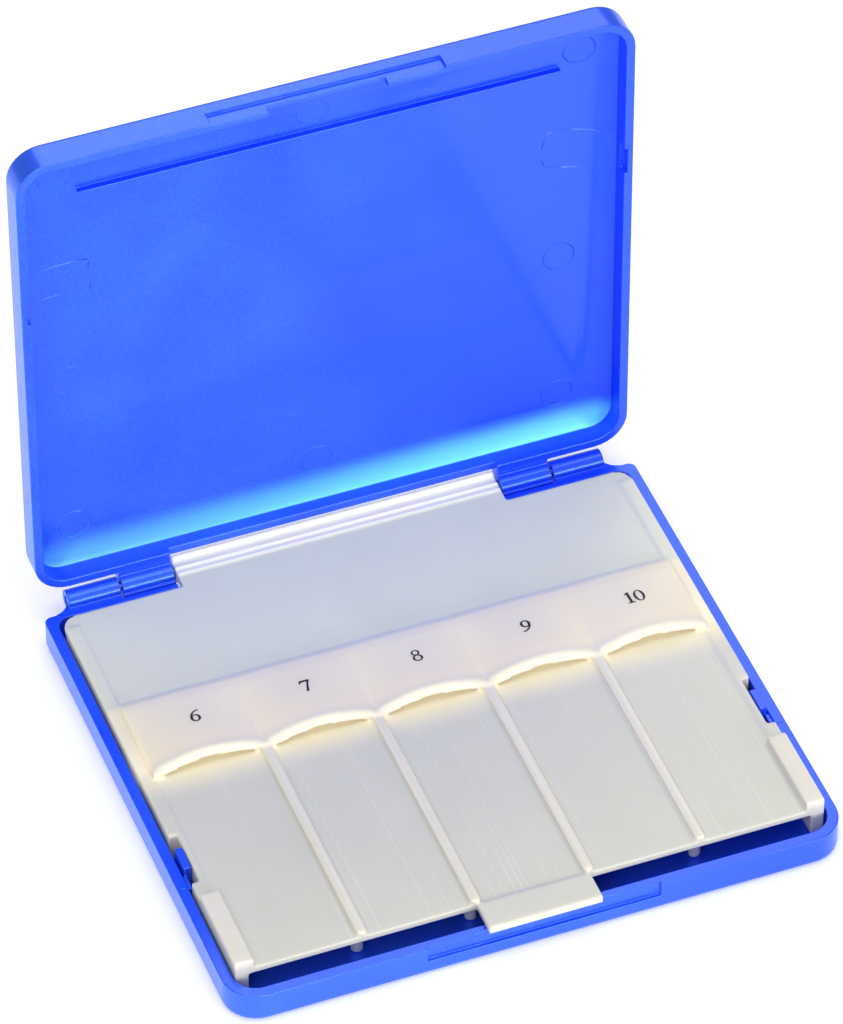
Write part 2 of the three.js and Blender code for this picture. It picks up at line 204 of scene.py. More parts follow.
def strip(bm: bmesh.types.BMesh, across: int, along: int) -> list[list[bmesh.types.BMVert]]:
    """Adds a flat grid for a caller to lay along a line.

    Args:
        bm: The shape that it is added to.
        across: Faces across the strip.
        along: Faces along it.

    Returns:
        Its vertices, row by row along the strip.
    """
    made = bmesh.ops.create_grid(bm, x_segments=across, y_segments=along, size=1.0)
    order = sorted(made["verts"], key=lambda vert: (round(vert.co.y, 5), vert.co.x))
    return [order[i : i + across + 1] for i in range(0, len(order), across + 1)]


def close_film(bm: bmesh.types.BMesh, towards: Vector, thickness_mm: float) -> None:
    """Turns a thin open surface into a closed film whose outer side looks one way.

    Args:
        bm: The surface; all of it is closed.
        towards: The way that its outer side looks.
        thickness_mm: The film's thickness, laid inwards.
    """
    bm.normal_update()
    away = [face for face in bm.faces if face.normal.dot(towards) < 0]
    bmesh.ops.reverse_faces(bm, faces=away)
    bm.normal_update()
    bmesh.ops.solidify(bm, geom=bm.faces[:], thickness=thickness_mm * MM)
    bmesh.ops.recalc_face_normals(bm, faces=bm.faces[:])


# ---------------------------------------------------------------- finishes


def fresh_material(name: str) -> tuple[bpy.types.Material, bpy.types.NodeTree, bpy.types.NodeSocket]:
    """Starts a material that holds only the place on the object, which its patterns follow.

    Args:
        name: The material's name.

    Returns:
        The material, its node tree and the place.
    """
    made = bpy.data.materials.new(name)
    made.use_nodes = True
    tree = made.node_tree
    tree.nodes.clear()
    return made, tree, add_node(tree, "ShaderNodeTexCoord").outputs["Object"]


@dataclass(frozen=True)
class Rise:
    """A soft change of a value between two places on one axis, which are in millimetres."""

    axis: str
    start: float
    end: float
    at_start: float = 0.0
    at_end: float = 1.0


def region(tree: bpy.types.NodeTree, where: bpy.types.NodeSocket, *rises: Rise) -> bpy.types.NodeSocket:
    """Marks out part of an object by multiplying soft changes along its axes.

    Args:
        tree: The material's nodes.
        where: The place on the object.
        rises: The changes that limit the part.

    Returns:
        The mark, which is 1 inside the part and 0 outside unless a change says otherwise.
    """
    axes = add_node(tree, "ShaderNodeSeparateXYZ", {}, {"Vector": where}).outputs
    mark: bpy.types.NodeSocket | float = 1.0
    for rise in rises:
        change = add_node(
            tree,
            "ShaderNodeMapRange",
            {"interpolation_type": "SMOOTHSTEP"},
            {
                "Value": axes[rise.axis],
                "From Min": rise.start * MM,
                "From Max": rise.end * MM,
                "To Min": rise.at_start,
                "To Max": rise.at_end,
            },
        ).outputs[0]
        mark = add_node(tree, "ShaderNodeMath", {"operation": "MULTIPLY"}, {0: mark, 1: change}).outputs[0]
    return mark


@dataclass(frozen=True)
class MetallicAbs:
    """Injection-moulded ABS with fine pearl flake: satin electric blue, with a painted highlight along the
    lid's hinge-side cove and painted shade towards the right.
    """

    name: str = "moulded_metallic_abs"
    deep: str = "1c4cff"
    light: str = "3870ff"
    painted_cove_highlight: str = "5cc0ff"  # painted highlight along the cove at the lid's hinge side
    cove_low_z: float = 8.5
    cove_high_z: float = 14.3
    cove_full_z: float = 10.5  # the painted highlight is at full strength from here down
    cove_y: float = 44.7
    panel_y: float = 46.2  # inside the panel's thickness, so the outer face stays plain
    wall_x: float = 43.9  # inside the side walls' thickness
    lit_side_x: float = -15.0  # painted shade: the flake's lighter colour is full up to this side and fades out towards the right
    far_x: float = 42.0
    shaded_side_share: float = 0.1  # share of the flake's lighter colour that is left at the right side, where the painted shade is deepest
    near_highlight_share: float = 0.4  # strength of the painted highlight at the left end of the cove; it rises to full at the right
    flake_mm: float = 0.28  # real flake is finer; this is the finest that shows
    cloud_mm: float = 16.0
    cloud_share: float = 0.35
    grain_mm: float = 0.4
    grain_strength: float = 0.2
    grain_depth_mm: float = 0.01
    smoothest: float = 0.36
    roughest: float = 0.42
    metallic: float = 0.5
    specular: float = 0.6
    sheen_tint: str = "a0f3ff"
    skin: float = 0.6  # the clear skin of plastic over the flake
    skin_roughness: float = 0.12

    def material(self) -> bpy.types.Material:
        """Builds the blue shell plastic.

        Returns:
            The material.
        """
        made, tree, where = fresh_material(self.name)
        # Pearl flake, a mottle of lighter specks; its density's slow drift; the fine grain of the mould.
        flake, cloud, grain = (
            add_node(
                tree,
                "ShaderNodeTexNoise",
                {"noise_dimensions": "3D"},
                {"Vector": where, "Scale": per_mm(size_mm), "Detail": detail, "Roughness": harshness},
            ).outputs["Fac"]
            for size_mm, detail, harshness in (
                (self.flake_mm, 3.0, 0.6),
                (self.cloud_mm, 2.0, 0.5),
                (self.grain_mm, 2.0, 0.5),
            )
        )
        both = add_node(
            tree,
            "ShaderNodeMix",
            {"data_type": "FLOAT"},
            {0: self.cloud_share, 2: flake, 3: cloud},
        )
        tone = add_node(
            tree,
            "ShaderNodeMapRange",
            {},
            {"Value": both.outputs[0], "From Min": 0.3, "From Max": 0.7},
        )
        # Painted shade: the flake's lighter colour fades out towards the right, so that side looks darker.
        painted_shade_mask = region(tree, where, Rise("X", self.far_x, self.lit_side_x, self.shaded_side_share, 1.0))
        flake_and_shade = add_node(tree, "ShaderNodeMath", {"operation": "MULTIPLY"}, {0: tone.outputs[0], 1: painted_shade_mask})
        body = add_node(
            tree,
            "ShaderNodeMix",
            {"data_type": "RGBA"},
            {0: flake_and_shade.outputs[0], 6: srgb(self.deep), 7: srgb(self.light)},
        )
        # Painted highlight: a light cyan band along the cove at the lid's hinge side, fading upwards and
        # stronger towards the right.
        cove = region(
            tree,
            where,
            Rise("Z", self.cove_high_z, self.cove_full_z),
            Rise("Z", self.cove_low_z - 0.3, self.cove_low_z),
            Rise("Y", self.cove_y, self.cove_y + 0.4),
            Rise("Y", self.panel_y + 0.3, self.panel_y),
            Rise("X", self.wall_x + 0.5, self.wall_x),
            Rise("X", -self.wall_x - 0.5, -self.wall_x),
            Rise("X", -self.far_x, self.far_x, self.near_highlight_share, 1.0),
        )
        colour = add_node(
            tree,
            "ShaderNodeMix",
            {"data_type": "RGBA"},
            {0: cove, 6: body.outputs[2], 7: srgb(self.painted_cove_highlight)},
        )
        satin = add_node(
            tree,
            "ShaderNodeMapRange",
            {},
            {
                "Value": cloud,
                "From Min": 0.3,
                "From Max": 0.7,
                "To Min": self.smoothest,
                "To Max": self.roughest,
            },
        )
        bump = add_node(
            tree,
            "ShaderNodeBump",
            {},
            {"Strength": self.grain_strength, "Distance": self.grain_depth_mm * MM, "Height": grain},
        )
        shader = add_node(
            tree,
            "ShaderNodeBsdfPrincipled",
            {},
            {
                "Base Color": colour.outputs[2],
                "Roughness": satin.outputs[0],
                "Normal": bump.outputs[0],
                "Metallic": self.metallic,
                "IOR": 1.54,
                "Specular IOR Level": self.specular,
                "Specular Tint": srgb(self.sheen_tint),
                "Coat Weight": self.skin,
                "Coat Roughness": self.skin_roughness,
            },
        )
        add_node(tree, "ShaderNodeOutputMaterial", {}, {"Surface": shader.outputs[0]})
        return made


@dataclass(frozen=True)
class NaturalPolypropylene:
    """Uncoloured polypropylene: cool grey where the plate is thin, warm and milky where walls are thick, with
    painted light in the roof's colour on the plate in front of the lips and under the roofs, and a painted
    glow in the pockets.
    """

    name: str = "natural_polypropylene"
    wall: str = "e3ded0"
    roof: str = "f7ecd0"
    floor: str = "d6d5c8"
    deck: str = "e4e4cf"
    tail: str = "fbf7ea"
    tail_y: float = 39.4
    plate_z: float = 6.3
    wall_z: float = 6.6
    lip_y: float = 3.4
    tab_y: float = -35.2
    # painted light: over this length in front of the lips the plate brightens to the roof's colour
    glow_mm: float = 5.5
    roof_back_y: float = 18.0
    pocket_y: float = 12.0
    pocket_z: float = 6.95
    # painted light: the pockets under the roofs glow in this colour, standing in for light through the thin
    # roof
    through: str = "ffefd8"
    through_strength: float = 0.1
    scratch: str = "efece6"
    scratch_mm: float = 0.3  # the cutter's lines, drawn as coarse as they need to show
    scratch_length_mm: float = 120.0
    cloud_mm: float = 9.0
    veil: float = 0.965  # how far the clouds darken the milk
    smoothest: float = 0.34
    roughest: float = 0.42
    grain_mm: float = 0.35
    grain_strength: float = 0.12
    grain_depth_mm: float = 0.01
    milk: float = 0.5
    milk_depth_mm: float = 1.5

    def scratches(self, tree: bpy.types.NodeTree, where: bpy.types.NodeSocket) -> bpy.types.NodeSocket:
        """Draws long faint lines along the compartments, where the mould was cut.

        Args:
            tree: The material's nodes.
            where: The place on the tray.

        Returns:
            The lines' strength, which is 0 outside the compartments.
        """
        drawn = add_node(
            tree,
            "ShaderNodeMapping",
            {"vector_type": "POINT"},
            {"Vector": where, "Scale": (1.0, self.scratch_mm / self.scratch_length_mm, 0.2)},
        )
        lines = add_node(
            tree,
            "ShaderNodeTexNoise",
            {"noise_dimensions": "3D"},
            {"Vector": drawn.outputs[0], "Scale": per_mm(self.scratch_mm), "Detail": 0.0, "Roughness": 0.4},
        )
        crest = add_node(
            tree,
            "ShaderNodeMapRange",
            {"interpolation_type": "SMOOTHSTEP"},
            {"Value": lines.outputs["Fac"], "From Min": 0.66, "From Max": 0.76, "To Max": 0.5},
        )
        open_floor = region(
            tree,
            where,
            Rise("Y", self.lip_y, -2.0),
            Rise("Y", self.tab_y, self.tab_y + 1.0),
        )
        return add_node(
            tree,
            "ShaderNodeMath",
            {"operation": "MULTIPLY"},
            {0: crest.outputs[0], 1: open_floor},
        ).outputs[0]

    def shades(
        self, tree: bpy.types.NodeTree, where: bpy.types.NodeSocket
    ) -> tuple[bpy.types.NodeSocket, bpy.types.NodeSocket]:
        """Mixes the milk's colours: cool in the thin plate, warm in the thick walls and the double roof, with
        painted light in the roof's colour on the plate in front of the lips and under the roofs.

        Args:
            tree: The material's nodes.
            where: The place on the tray.

        Returns:
            The colour, and the light that comes through the thin roof and brightens the pockets under it.
        """
        lip, pocket = self.lip_y, self.pocket_y
        known: dict[str, object] = {
            name: srgb(getattr(self, name))
            for name in ("wall", "roof", "floor", "deck", "tail", "scratch", "through")
        }
        known["dark"] = (0.0, 0.0, 0.0, 1.0)
        covered = Rise("Y", self.roof_back_y, self.roof_back_y - 1.0)
        pockets = (
            Rise("Y", lip - 0.4, lip + 1.6),
            Rise("Y", pocket, pocket - 6.0),
            Rise("Z", self.pocket_z + 0.3, self.pocket_z),
        )
        for shade, mark, under, over in (
            ("plate", region(tree, where, Rise("Y", lip, pocket)), "floor", "deck"),
            # Painted light: the plate in front of the lips and under the roofs takes the roof's brighter,
            # warmer colour.
            ("lit_plate", region(tree, where, Rise("Y", lip - self.glow_mm, lip), covered), "plate", "roof"),
            ("upright", region(tree, where, Rise("Y", lip, lip + 2.5)), "wall", "roof"),
            ("body", region(tree, where, Rise("Z", self.plate_z, self.wall_z)), "lit_plate", "upright"),
            ("tray", region(tree, where, Rise("Y", self.tail_y, self.tail_y + 0.8)), "body", "tail"),
            ("lined", self.scratches(tree, where), "tray", "scratch"),
            ("lit_pockets", region(tree, where, *pockets), "dark", "through"),
        ):
            mixed = add_node(
                tree,
                "ShaderNodeMix",
                {"data_type": "RGBA"},
                {0: mark, 6: known[under], 7: known[over]},
            )
            known[shade] = mixed.outputs[2]
        return known["lined"], known["lit_pockets"]

    def material(self) -> bpy.types.Material:
        """Builds the tray plastic.

        Returns:
            The material.
        """
        made, tree, where = fresh_material(self.name)
        lined, lit_pockets = self.shades(tree, where)
        # Slow clouding of the milk with the same clouds in the gloss, and the fine grain of the mould.
        cloud, grain = (
            add_node(
                tree,
                "ShaderNodeTexNoise",
                {"noise_dimensions": "3D"},
                {"Vector": where, "Scale": per_mm(size_mm), "Detail": detail, "Roughness": harshness},
            ).outputs["Fac"]
            for size_mm, detail, harshness in ((self.cloud_mm, 3.0, 0.55), (self.grain_mm, 2.0, 0.5))
        )
        veil, gloss = (
            add_node(
                tree,
                "ShaderNodeMapRange",
                {},
                {"Value": cloud, "From Min": 0.3, "From Max": 0.7, "To Min": least, "To Max": most},
            ).outputs[0]
            for least, most in ((self.veil, 1.0), (self.smoothest, self.roughest))
        )
        colour = add_node(tree, "ShaderNodeVectorMath", {"operation": "SCALE"}, {0: lined, "Scale": veil})
        fine = add_node(
            tree,
            "ShaderNodeBump",
            {},
            {"Strength": self.grain_strength, "Distance": self.grain_depth_mm * MM, "Height": grain},
        )
        shader = add_node(
            tree,
            "ShaderNodeBsdfPrincipled",
            {},
            {
                "Base Color": colour.outputs[0],
                "Roughness": gloss,
                "Normal": fine.outputs[0],
                "IOR": 1.49,
                "Subsurface Weight": self.milk,
                "Subsurface Radius": (1.0, 0.78, 0.5),
                "Subsurface Scale": self.milk_depth_mm * MM,
                # Painted light: an emission that makes the pockets under the roofs glow.
                "Emission Color": lit_pockets,
                "Emission Strength": self.through_strength,
            },
        )
        add_node(tree, "ShaderNodeOutputMaterial", {}, {"Surface": shader.outputs[0]})
        return made


@dataclass(frozen=True)
class DrawnSteel:
    """Drawn steel wire: bright, with hair lines along its length."""

    name: str = "drawn_steel_wire"
    colour: str = "c3c6ca"
    line_mm: float = 0.12
    line_stretch: float = 0.03  # how short the pattern's steps are along the wire
    smoothest: float = 0.2
    roughest: float = 0.34

    def material(self) -> bpy.types.Material:
        """Builds the hinge pins' steel.

        Returns:
            The material.
        """
        made, tree, where = fresh_material(self.name)
        along = add_node(
            tree,
            "ShaderNodeMapping",
            {"vector_type": "POINT"},
            {"Vector": where, "Scale": (self.line_stretch, 1.0, 1.0)},
        )
        lines = add_node(
            tree,
            "ShaderNodeTexNoise",
            {"noise_dimensions": "3D"},
            {"Vector": along.outputs[0], "Scale": per_mm(self.line_mm), "Detail": 2.0},
        )
        rough = add_node(
            tree,
            "ShaderNodeMapRange",
            {},
            {"Value": lines.outputs["Fac"], "To Min": self.smoothest, "To Max": self.roughest},
        )
        shader = add_node(
            tree,
            "ShaderNodeBsdfPrincipled",
            {},
            {"Base Color": srgb(self.colour), "Metallic": 1.0, "Roughness": rough.outputs[0]},
        )
        add_node(tree, "ShaderNodeOutputMaterial", {}, {"Surface": shader.outputs[0]})
        return made


@dataclass(frozen=True)
class PadPrintInk:
    """Pad-printed ink: a thin, flat, dark brown film with slightly uneven cover."""

    name: str = "pad_print_ink"
    full: str = "1c1714"
    thin: str = "2e2722"
    patch_mm: float = 0.5
    roughness: float = 0.6

    def material(self) -> bpy.types.Material:
        """Builds the numerals' ink.

        Returns:
            The material.
        """
        made, tree, where = fresh_material(self.name)
        patch = add_node(
            tree,
            "ShaderNodeTexNoise",
            {"noise_dimensions": "3D"},
            {"Vector": where, "Scale": per_mm(self.patch_mm), "Detail": 2.0},
        )
        cover = add_node(
            tree,
            "ShaderNodeMix",
            {"data_type": "RGBA"},
            {0: patch.outputs["Fac"], 6: srgb(self.full), 7: srgb(self.thin)},
        )
        shader = add_node(
            tree,
            "ShaderNodeBsdfPrincipled",
            {},
            {"Base Color": cover.outputs[2], "Roughness": self.roughness, "IOR": 1.5},
        )
        add_node(tree, "ShaderNodeOutputMaterial", {}, {"Surface": shader.outputs[0]})
        return made


# ---------------------------------------------------------------- shells


@dataclass
class MouldMarks:
    """Fine raised lines that a mould leaves on a face, laid onto the real surface; in millimetres."""

    surface: BVHTree
    inward: Vector
    proud: float = 0.08
    sunk: float = 0.05
    line_width: float = 0.24
    reach: float = 3.0
    ring_steps: int = 48

    def lay(self, point: Vector) -> Vector:
        """Moves a point along the face's normal onto the surface.

        Args:
            point: A point near the face, in metres.

        Returns:
            The point on the surface, or the same point where there is no surface.
        """
        start = point + self.inward * self.reach * MM
        hit = self.surface.ray_cast(start, -self.inward, 2 * self.reach * MM)[0]
        return hit or point

    def line(self, bm: bmesh.types.BMesh, points: list[Vector], end_fade: float) -> None:
        """Adds a low closed ridge along a line of points.

        Args:
            bm: The shape that it is added to.
            points: The ridge's middle line near the face, in metres.
            end_fade: Length over which each end runs out, in millimetres; 0 for a line that closes.
        """
        ridge = bmesh.new()
        rows = strip(ridge, 2, len(points) - 1)
        total = sum((b - a).length for a, b in zip(points, points[1:]))
        run = 0.0
        for i, (row, point) in enumerate(zip(rows, points)):
            ahead = points[min(i + 1, len(points) - 1)] - points[max(i - 1, 0)]
            side = ahead.normalized().cross(self.inward) * self.line_width * MM / 2
            if i:
                run += (point - points[i - 1]).length
            height = self.proud * MM
            if end_fade:
                height *= min(1.0, run / (end_fade * MM), (total - run) / (end_fade * MM))
            row[0].co = self.lay(point - side)
            row[1].co = self.lay(point) + self.inward * max(height, 0.0)
            row[2].co = self.lay(point + side)
        close_film(ridge, self.inward, self.sunk)
        mesh = bpy.data.meshes.new("ridge")
        ridge.to_mesh(mesh)
        ridge.free()
        bm.from_mesh(mesh)
        bpy.data.meshes.remove(mesh)

    def ring(self, bm: bmesh.types.BMesh, centre: Vector, radius: float) -> None:
        """Adds an ejector's round line.

        Args:
            bm: The shape that it is added to.
            centre: Its middle, in metres.
            radius: Its radius, in millimetres.
        """
        turn = self.inward.to_track_quat("Z", "Y")
        around = []
        for i in range(self.ring_steps + 1):
            angle = 2 * math.pi * i / self.ring_steps
            spoke = Vector((math.cos(angle), math.sin(angle), 0)) * radius * MM
            around.append(centre + turn @ spoke)
        self.line(bm, around, 0.0)


def surface_of(piece: bpy.types.Object) -> BVHTree:
    """Gives a piece's surface, with its modifiers, for laying marks and print on."""
    bpy.context.view_layer.update()
    return BVHTree.FromObject(piece, bpy.context.evaluated_depsgraph_get())


@dataclass
class BaseShell:
    """The lower shell, with its hinge knuckles, side catches and finger recess."""

    plastic: bpy.types.Material
    edge: float = 0.12
    floor_z: float = 1.2
    ejector_radius: float = 2.35
    ejectors: tuple[tuple[float, float], ...] = ((39.3, -33.4), (-39.3, -33.4))
    # The short seam that the mould's insert leaves across each side's rim.
    seam_x: tuple[float, ...] = (44.6, 44.3, 43.9, 43.6)
    seam_y: float = -16.9
    seam_z: float = 5.0
    seam_fade: float = 0.15

    def build(self) -> list[bpy.types.Object]:
        """Builds the shell and its mould marks.

        Returns:
            The pieces made.
        """
        shell = new_piece("base_shell_moulded", merged_copy("base_shell"), self.plastic)
        round_edges(shell, self.edge)
        even_normals(shell)
        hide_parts("base_shell")
        marks = MouldMarks(surface_of(shell), Vector((0, 0, 1)))
        lines = bmesh.new()
        for x, y in self.ejectors:
            marks.ring(lines, Vector((x, y, self.floor_z)) * MM, self.ejector_radius)
        for side in (-1, 1):
            across = [Vector((side * x, self.seam_y, self.seam_z)) * MM for x in self.seam_x]
            marks.line(lines, across, self.seam_fade)
        trim = new_piece("base_mould_marks", lines, self.plastic)
        for piece in (shell, trim):
            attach(piece, "base")
        return [shell, trim]


@dataclass
class LidShell:
    """The upper shell, standing open: its panel faces the front, its free edge is at the top."""

    plastic: bpy.types.Material
    edge: float = 0.12
    panel_y: float = 46.0
    hinge_y: float = 41.8
    hinge_z: float = 5.0
    ejector_radius: float = 2.35
    # Where each ejector pad would be on the shut lid, as x and y.
    ejectors: tuple[tuple[float, float], ...] = (
        (-1.15, -34.1),
        (-38.3, -33.5),
        (38.1, -33.0),
        (-37.8, 3.9),
        (35.5, 4.4),
        (-37.7, 31.5),
        (35.5, 30.7),
        (-1.25, 31.3),
    )
    # Lines left by the sliding cores that free the catch pockets.
    core_lines: tuple[tuple[tuple[float, float], ...], ...] = (
        ((-41.4, -17.5), (-39.0, -17.5), (-36.5, -17.5), (-34.1, -17.4)),
        ((-33.9, -16.9), (-33.9, -15.0), (-33.9, -13.2), (-33.9, -11.8)),
        ((-41.3, -12.2), (-39.8, -12.2), (-38.6, -12.2), (-37.6, -12.2)),
        ((43.0, -16.7), (40.0, -17.8), (37.0, -18.8), (34.6, -19.3), (33.3, -18.6), (32.7, -16.4)),
        ((32.9, -14.2), (33.3, -12.9), (35.5, -12.3), (38.0, -11.4), (40.4, -10.7)),
    )
    core_fade: float = 1.2

    def open_place(self, x: float, y: float) -> Vector:
        """Finds the place on the open lid's panel of a point that is given on the shut lid."""
        return Vector((x, self.panel_y, self.hinge_z + self.hinge_y - y)) * MM

    def build(self) -> list[bpy.types.Object]:
        """Builds the shell and its mould marks.

        Returns:
            The pieces made.
        """
        shell = new_piece("lid_shell_moulded", merged_copy("lid_shell"), self.plastic)
        round_edges(shell, self.edge)
        even_normals(shell)
        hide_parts("lid_shell")
        marks = MouldMarks(surface_of(shell), Vector((0, -1, 0)))
        lines = bmesh.new()
        for x, y in self.ejectors:
            marks.ring(lines, self.open_place(x, y), self.ejector_radius)
        for line in self.core_lines:
            marks.line(lines, [self.open_place(x, y) for x, y in line], self.core_fade)
        trim = new_piece("lid_mould_marks", lines, self.plastic)
        for piece in (shell, trim):
            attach(piece, "lid")
        return [shell, trim]


# ---------------------------------------------------------------- tray


@dataclass
class NeedleTray:
    """The tray with its five vaulted compartments and the tail that passes to the hinge."""

    plastic: bpy.types.Material
    voxel: float = 0.2
    passes: int = 6
    kept: float = 0.18

    def build(self) -> list[bpy.types.Object]:
        """Builds the tray.

        Returns:
            The piece made.
        """
        tray = new_piece("needle_tray_moulded", merged_copy("needle_tray"), self.plastic)
        soft_skin(tray, self.voxel, self.passes, self.kept)
        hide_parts("needle_tray")
        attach(tray, "base")
        return [tray]


class Numeral(Enum):
    """The needle sizes that the compartments are marked with, from left to right."""

    SIX = "6"
    SEVEN = "7"
    EIGHT = "8"
    NINE = "9"
    TEN = "10"


@dataclass
class SizeNumerals:
    """Printed numerals on the vaults, drawn with thick and thin strokes; in millimetres."""

    ink: bpy.types.Material
    tray: bpy.types.Object
    height: float = 2.4
    middle_x: float = 0.6
    middle_y: float = 10.95
    pitch: float = 16.5
    film: float = 0.03
    drop_z: float = 20.0  # a height above the whole tray
    ring_steps: int = 28
    arc_steps: int = 10

    def ring(self, bm: bmesh.types.BMesh, x: float, y: float, size: Vector, stroke: Vector) -> None:
        """Adds an oval ring, thick at its sides and thin at top and bottom.

        Args:
            bm: The shape that it is added to.
            x: Middle of the ring, in numeral heights.
            y: Middle of the ring, in numeral heights.
            size: Outer half width and half height.
            stroke: Stroke thickness at the sides and at top and bottom.
        """
        loops = []
        for half in (size, size - stroke):
            place = Matrix.Translation((x, y, 0)) @ Matrix.Diagonal((half.x, half.y, 1, 1))
            made = bmesh.ops.create_circle(bm, segments=self.ring_steps, radius=1.0, matrix=place)
            loops.append(list({e for v in made["verts"] for e in v.link_edges}))
        bmesh.ops.bridge_loops(bm, edges=loops[0] + loops[1])

    def stroke(self, bm: bmesh.types.BMesh, points: list[tuple[float, float, float, float]]) -> None:
        """Adds a stroke whose ends and width follow its points.

        Args:
            bm: The shape that it is added to.
            points: Rows of left x, left y, right x and right y, in numeral heights.
        """
        for (left, right), (a, b, c, d) in zip(strip(bm, 1, len(points) - 1), points):
            left.co = (a, b, 0)
            right.co = (c, d, 0)

    def six(self, bm: bmesh.types.BMesh) -> None:
        """Draws a 6 one unit high, centred on x.

        Args:
            bm: The shape that it is added to.
        """
        self.ring(bm, 0.0, 0.31, Vector((0.31, 0.31)), Vector((0.15, 0.07)))
        rows = []
        for i in range(self.arc_steps + 1):
            t = i / self.arc_steps
            angle = math.radians(180 - 88 * t)
            outer = (0.36 + 0.65 * math.cos(angle), 0.33 + 0.67 * math.sin(angle))
            width = 0.15 * (1 - t) + 0.07 * t
            inner = (outer[0] + width * (1 - 0.5 * t), outer[1] - width * t)
            rows.append((*inner, *outer))
        self.stroke(bm, rows)

    def seven(self, bm: bmesh.types.BMesh) -> None:
        """Draws a 7 one unit high, centred on x.

        Args:
            bm: The shape that it is added to.
        """
        self.stroke(bm, [(-0.3, 0.84, -0.3, 1.0), (0.3, 0.87, 0.32, 1.0)])
        self.stroke(bm, [(-0.35, 0.72, -0.29, 0.72), (-0.3, 1.0, -0.2, 0.9)])
        self.stroke(bm, [(0.17, 0.93, 0.32, 0.97), (0.02, 0.5, 0.14, 0.5), (-0.13, 0.0, 0.03, 0.0)])

    def one(self, bm: bmesh.types.BMesh, x: float) -> None:
        """Draws a 1 one unit high.

        Args:
            bm: The shape that it is added to.
            x: Its middle, in numeral heights.
        """
        self.stroke(bm, [(x - 0.08, 0.03, x + 0.08, 0.03), (x - 0.08, 1.0, x + 0.08, 1.0)])
        self.stroke(bm, [(x - 0.21, 0.8, x - 0.22, 0.87), (x + 0.05, 0.91, x + 0.08, 1.0)])
        self.stroke(bm, [(x - 0.22, 0.0, x - 0.22, 0.07), (x + 0.22, 0.0, x + 0.22, 0.07)])

    def draw(self, numeral: Numeral) -> bmesh.types.BMesh:
        """Draws one numeral flat, one unit high, standing on y 0.

        Args:
            numeral: Which one.

        Returns:
            The flat shape.
        """
        bm = bmesh.new()
        if numeral is Numeral.SIX:
            self.six(bm)
        elif numeral is Numeral.NINE:
            self.six(bm)
            half_turn = Matrix.Rotation(math.pi, 3, "Z")
            bmesh.ops.rotate(bm, verts=bm.verts[:], cent=(0, 0.5, 0), matrix=half_turn)
        elif numeral is Numeral.SEVEN:
            self.seven(bm)
        elif numeral is Numeral.EIGHT:
            self.ring(bm, 0.0, 0.28, Vector((0.31, 0.28)), Vector((0.13, 0.07)))
            self.ring(bm, 0.0, 0.76, Vector((0.26, 0.24)), Vector((0.11, 0.065)))
        else:
            self.one(bm, -0.36)
            self.ring(bm, 0.26, 0.5, Vector((0.33, 0.5)), Vector((0.15, 0.06)))
        return bm

    def lay_down(self, bm: bmesh.types.BMesh, surface: BVHTree) -> None:
        """Lets every vertex down onto the tray's surface, with the ink film's thickness left between.

        Args:
            bm: The flat numeral, in place above the vault.
            surface: The tray's surface.
        """
        for vert in bm.verts:
            above = Vector((vert.co.x, vert.co.y, self.drop_z * MM))
            hit, normal, _, _ = surface.ray_cast(above, Vector((0, 0, -1)))
            vert.co = hit + normal * self.film * MM

    def build(self) -> list[bpy.types.Object]:
        """Builds the five numerals.

        Returns:
            The pieces made.
        """
        surface = surface_of(self.tray)
        pieces = []
        for i, numeral in enumerate(Numeral):
            bm = self.draw(numeral)
            bmesh.ops.subdivide_edges(bm, edges=bm.edges[:], cuts=1, use_grid_fill=True)
            size = self.height * MM
            bmesh.ops.scale(bm, verts=bm.verts[:], vec=(size, size, 1))
            x = ((i - 2) * self.pitch + self.middle_x) * MM
            bmesh.ops.translate(bm, verts=bm.verts[:], vec=(x, self.middle_y * MM - size / 2, 0))
            self.lay_down(bm, surface)
            close_film(bm, Vector((0, 0, 1)), self.film)
            piece = new_piece(f"numeral_{numeral.value}", bm, self.ink)
            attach(piece, "base")
            pieces.append(piece)
        return pieces


# ---------------------------------------------------------------- hinge pins


@dataclass
class HingePins:
    """The two steel wires on the hinge line."""

    steel: bpy.types.Material
    edge: float = 0.06
    sharp_degrees: float = 30

    def build(self) -> list[bpy.types.Object]:
        """Builds both pins.

        Returns:
            The pieces made.
        """
        pieces = []
        for side in ("left", "right"):
            node = f"hinge_pin_{side}"
            pin = new_piece(f"{node}_drawn", merged_copy(node), self.steel)
            round_edges(pin, self.edge, angle=self.sharp_degrees)
            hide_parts(node)
            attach(pin, "base")
            pieces.append(pin)
        return pieces


# ---------------------------------------------------------------- studio


@dataclass(frozen=True)
class SoftBox:
    """A rectangular softbox: where it hangs and its width and height, in metres, and its power in watts."""

    name: str
    at: tuple[float, float, float]
    size: tuple[float, float]
    power: float


